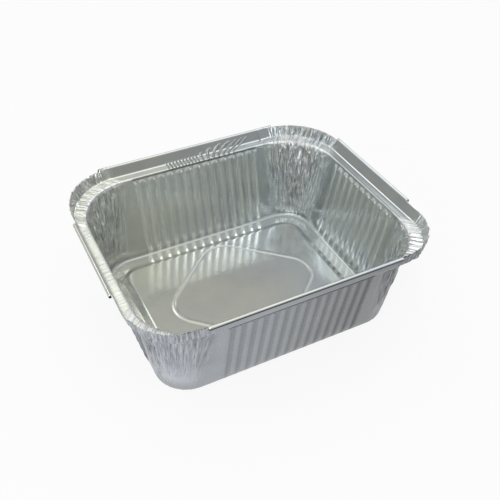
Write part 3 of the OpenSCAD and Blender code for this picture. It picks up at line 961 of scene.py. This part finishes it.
# Floor, room and camera. The room is bright overhead, and has a cooler cast on the right
stage = {
    "floor": 3.0, "floorColour": (0.94, 0.94, 0.94), "floorGlow": 0.88, "floorRoughness": 0.9,
    "worldTop": (1.1, 1.1, 1.1), "worldSide": (0.38, 0.38, 0.38), "worldRise": (0.5, 1.0),
    "warmCast": (1.0, 1.005, 0.96), "coolCast": (0.96, 1.0, 1.08), "castTurn": (0.1, 0.6),
}
camera = {
    "place": (-0.11221, -0.22576, 0.23957), "heading": 27.03, "pitch": 40.42, "roll": 0.365,
    "lens": 49.55, "sensor": 36,
}

# Softboxes and windows: metres, watts
lamps = {
    "backSoftbox": {"place": (-0.13, 0.95, 0.87), "target": (-0.07, 0, 0.04), "size": (0.5, 0.5),
                    "power": 0.46, "colour": (1.0, 0.98, 0.92)},
    "topSoftbox": {"place": (-0.43, -0.61, 1.07), "target": (0, 0, 0.02), "size": (0.4, 0.4),
                   "power": 1.8, "colour": (1.0, 1.0, 1.0)},
    "rightWindow": {"place": (0.78, 0.69, 0.8), "target": (0.05, 0, 0.04), "size": (0.25, 0.25),
                    "power": 0.25, "colour": (0.92, 0.96, 1.0)},
    "backWindow": {"place": (-0.14, 0.88, 1.05), "target": (0, 0, 0.02), "size": (0.26, 0.36),
                   "power": 0.28, "colour": (0.85, 0.93, 1.0)},
    "leftWindow": {"place": (-1.1, -0.5, 0.45), "target": (0, 0, 0.03), "size": (0.7, 0.6),
                   "power": 2.8, "colour": (0.92, 0.96, 1.0)},
}


# The floor glows to the camera and in reflections, and still takes a shadow
def makeFloor():
    half = stage["floor"] / 2
    spots = [(-half, -half, 0), (half, -half, 0), (half, half, 0), (-half, half, 0)]
    mesh = bpy.data.meshes.new("floor")
    mesh.from_pydata(spots, [], [(0, 1, 2, 3)])
    floor = bpy.data.objects.new("floor", mesh)
    bpy.context.scene.collection.objects.link(floor)
    material = bpy.data.materials.new("paleFloor")
    material.use_nodes = True
    tree = material.node_tree
    shader = tree.nodes["Principled BSDF"]
    shader.inputs["Base Color"].default_value = (*stage["floorColour"], 1)
    shader.inputs["Roughness"].default_value = stage["floorRoughness"]
    glow = tree.nodes.new("ShaderNodeEmission")
    rays = tree.nodes.new("ShaderNodeLightPath").outputs
    seen = calc(tree, "MAXIMUM", calc(tree, "MAXIMUM", rays["Is Camera Ray"], rays["Is Glossy Ray"]),
                rays["Is Transmission Ray"])
    both = tree.nodes.new("ShaderNodeMixShader")
    plug(tree, product(tree, seen, stage["floorGlow"]), both.inputs[0])
    plug(tree, shader.outputs[0], both.inputs[1])
    plug(tree, glow.outputs[0], both.inputs[2])
    plug(tree, both.outputs[0], tree.nodes["Material Output"].inputs["Surface"])
    mesh.materials.append(material)


# The camera sees white behind the floor, and the foil reflects the room
def makeWorld():
    world = bpy.data.worlds.new("studio")
    bpy.context.scene.world = world
    world.use_nodes = True
    tree = world.node_tree
    parts = tree.nodes.new("ShaderNodeSeparateXYZ")
    plug(tree, tree.nodes.new("ShaderNodeTexCoord").outputs["Generated"], parts.inputs[0])
    room = blend(tree, ramp(tree, parts.outputs[2], *stage["worldRise"]),
                 (*stage["worldSide"], 1), (*stage["worldTop"], 1))
    cast = blend(tree, ramp(tree, parts.outputs[0], *stage["castTurn"]),
                 (*stage["warmCast"], 1), (*stage["coolCast"], 1))
    seen = tree.nodes.new("ShaderNodeLightPath").outputs["Is Camera Ray"]
    shown = blend(tree, seen, vectorCalc(tree, "MULTIPLY", room, cast), (1, 1, 1, 1))
    plug(tree, shown, tree.nodes["Background"].inputs["Color"])


def makeLamp(name, lamp):
    light = bpy.data.lights.new(name, "AREA")
    light.shape = "RECTANGLE"
    light.size, light.size_y = lamp["size"]
    light.energy = lamp["power"]
    light.color = lamp["colour"]
    body = bpy.data.objects.new(name, light)
    body.location = lamp["place"]
    way = Vector(lamp["target"]) - Vector(lamp["place"])
    body.rotation_euler = way.to_track_quat("-Z", "Y").to_euler()
    bpy.context.scene.collection.objects.link(body)


def makeCamera():
    data = bpy.data.cameras.new("camera")
    data.lens = camera["lens"]
    data.sensor_width = camera["sensor"]
    eye = bpy.data.objects.new("camera", data)
    heading, pitch, roll = (math.radians(camera[k]) for k in ("heading", "pitch", "roll"))
    eye.matrix_world = (Matrix.Translation(camera["place"]) @ Matrix.Rotation(-heading, 4, "Z")
                        @ Matrix.Rotation(math.pi / 2 - pitch, 4, "X") @ Matrix.Rotation(roll, 4, "Z"))
    bpy.context.scene.collection.objects.link(eye)
    bpy.context.scene.camera = eye


makeFloor()
makeWorld()
for name, lamp in lamps.items():
    makeLamp(name, lamp)
makeCamera()
bpy.context.scene.view_settings.view_transform = "Standard"
print("stage ready")
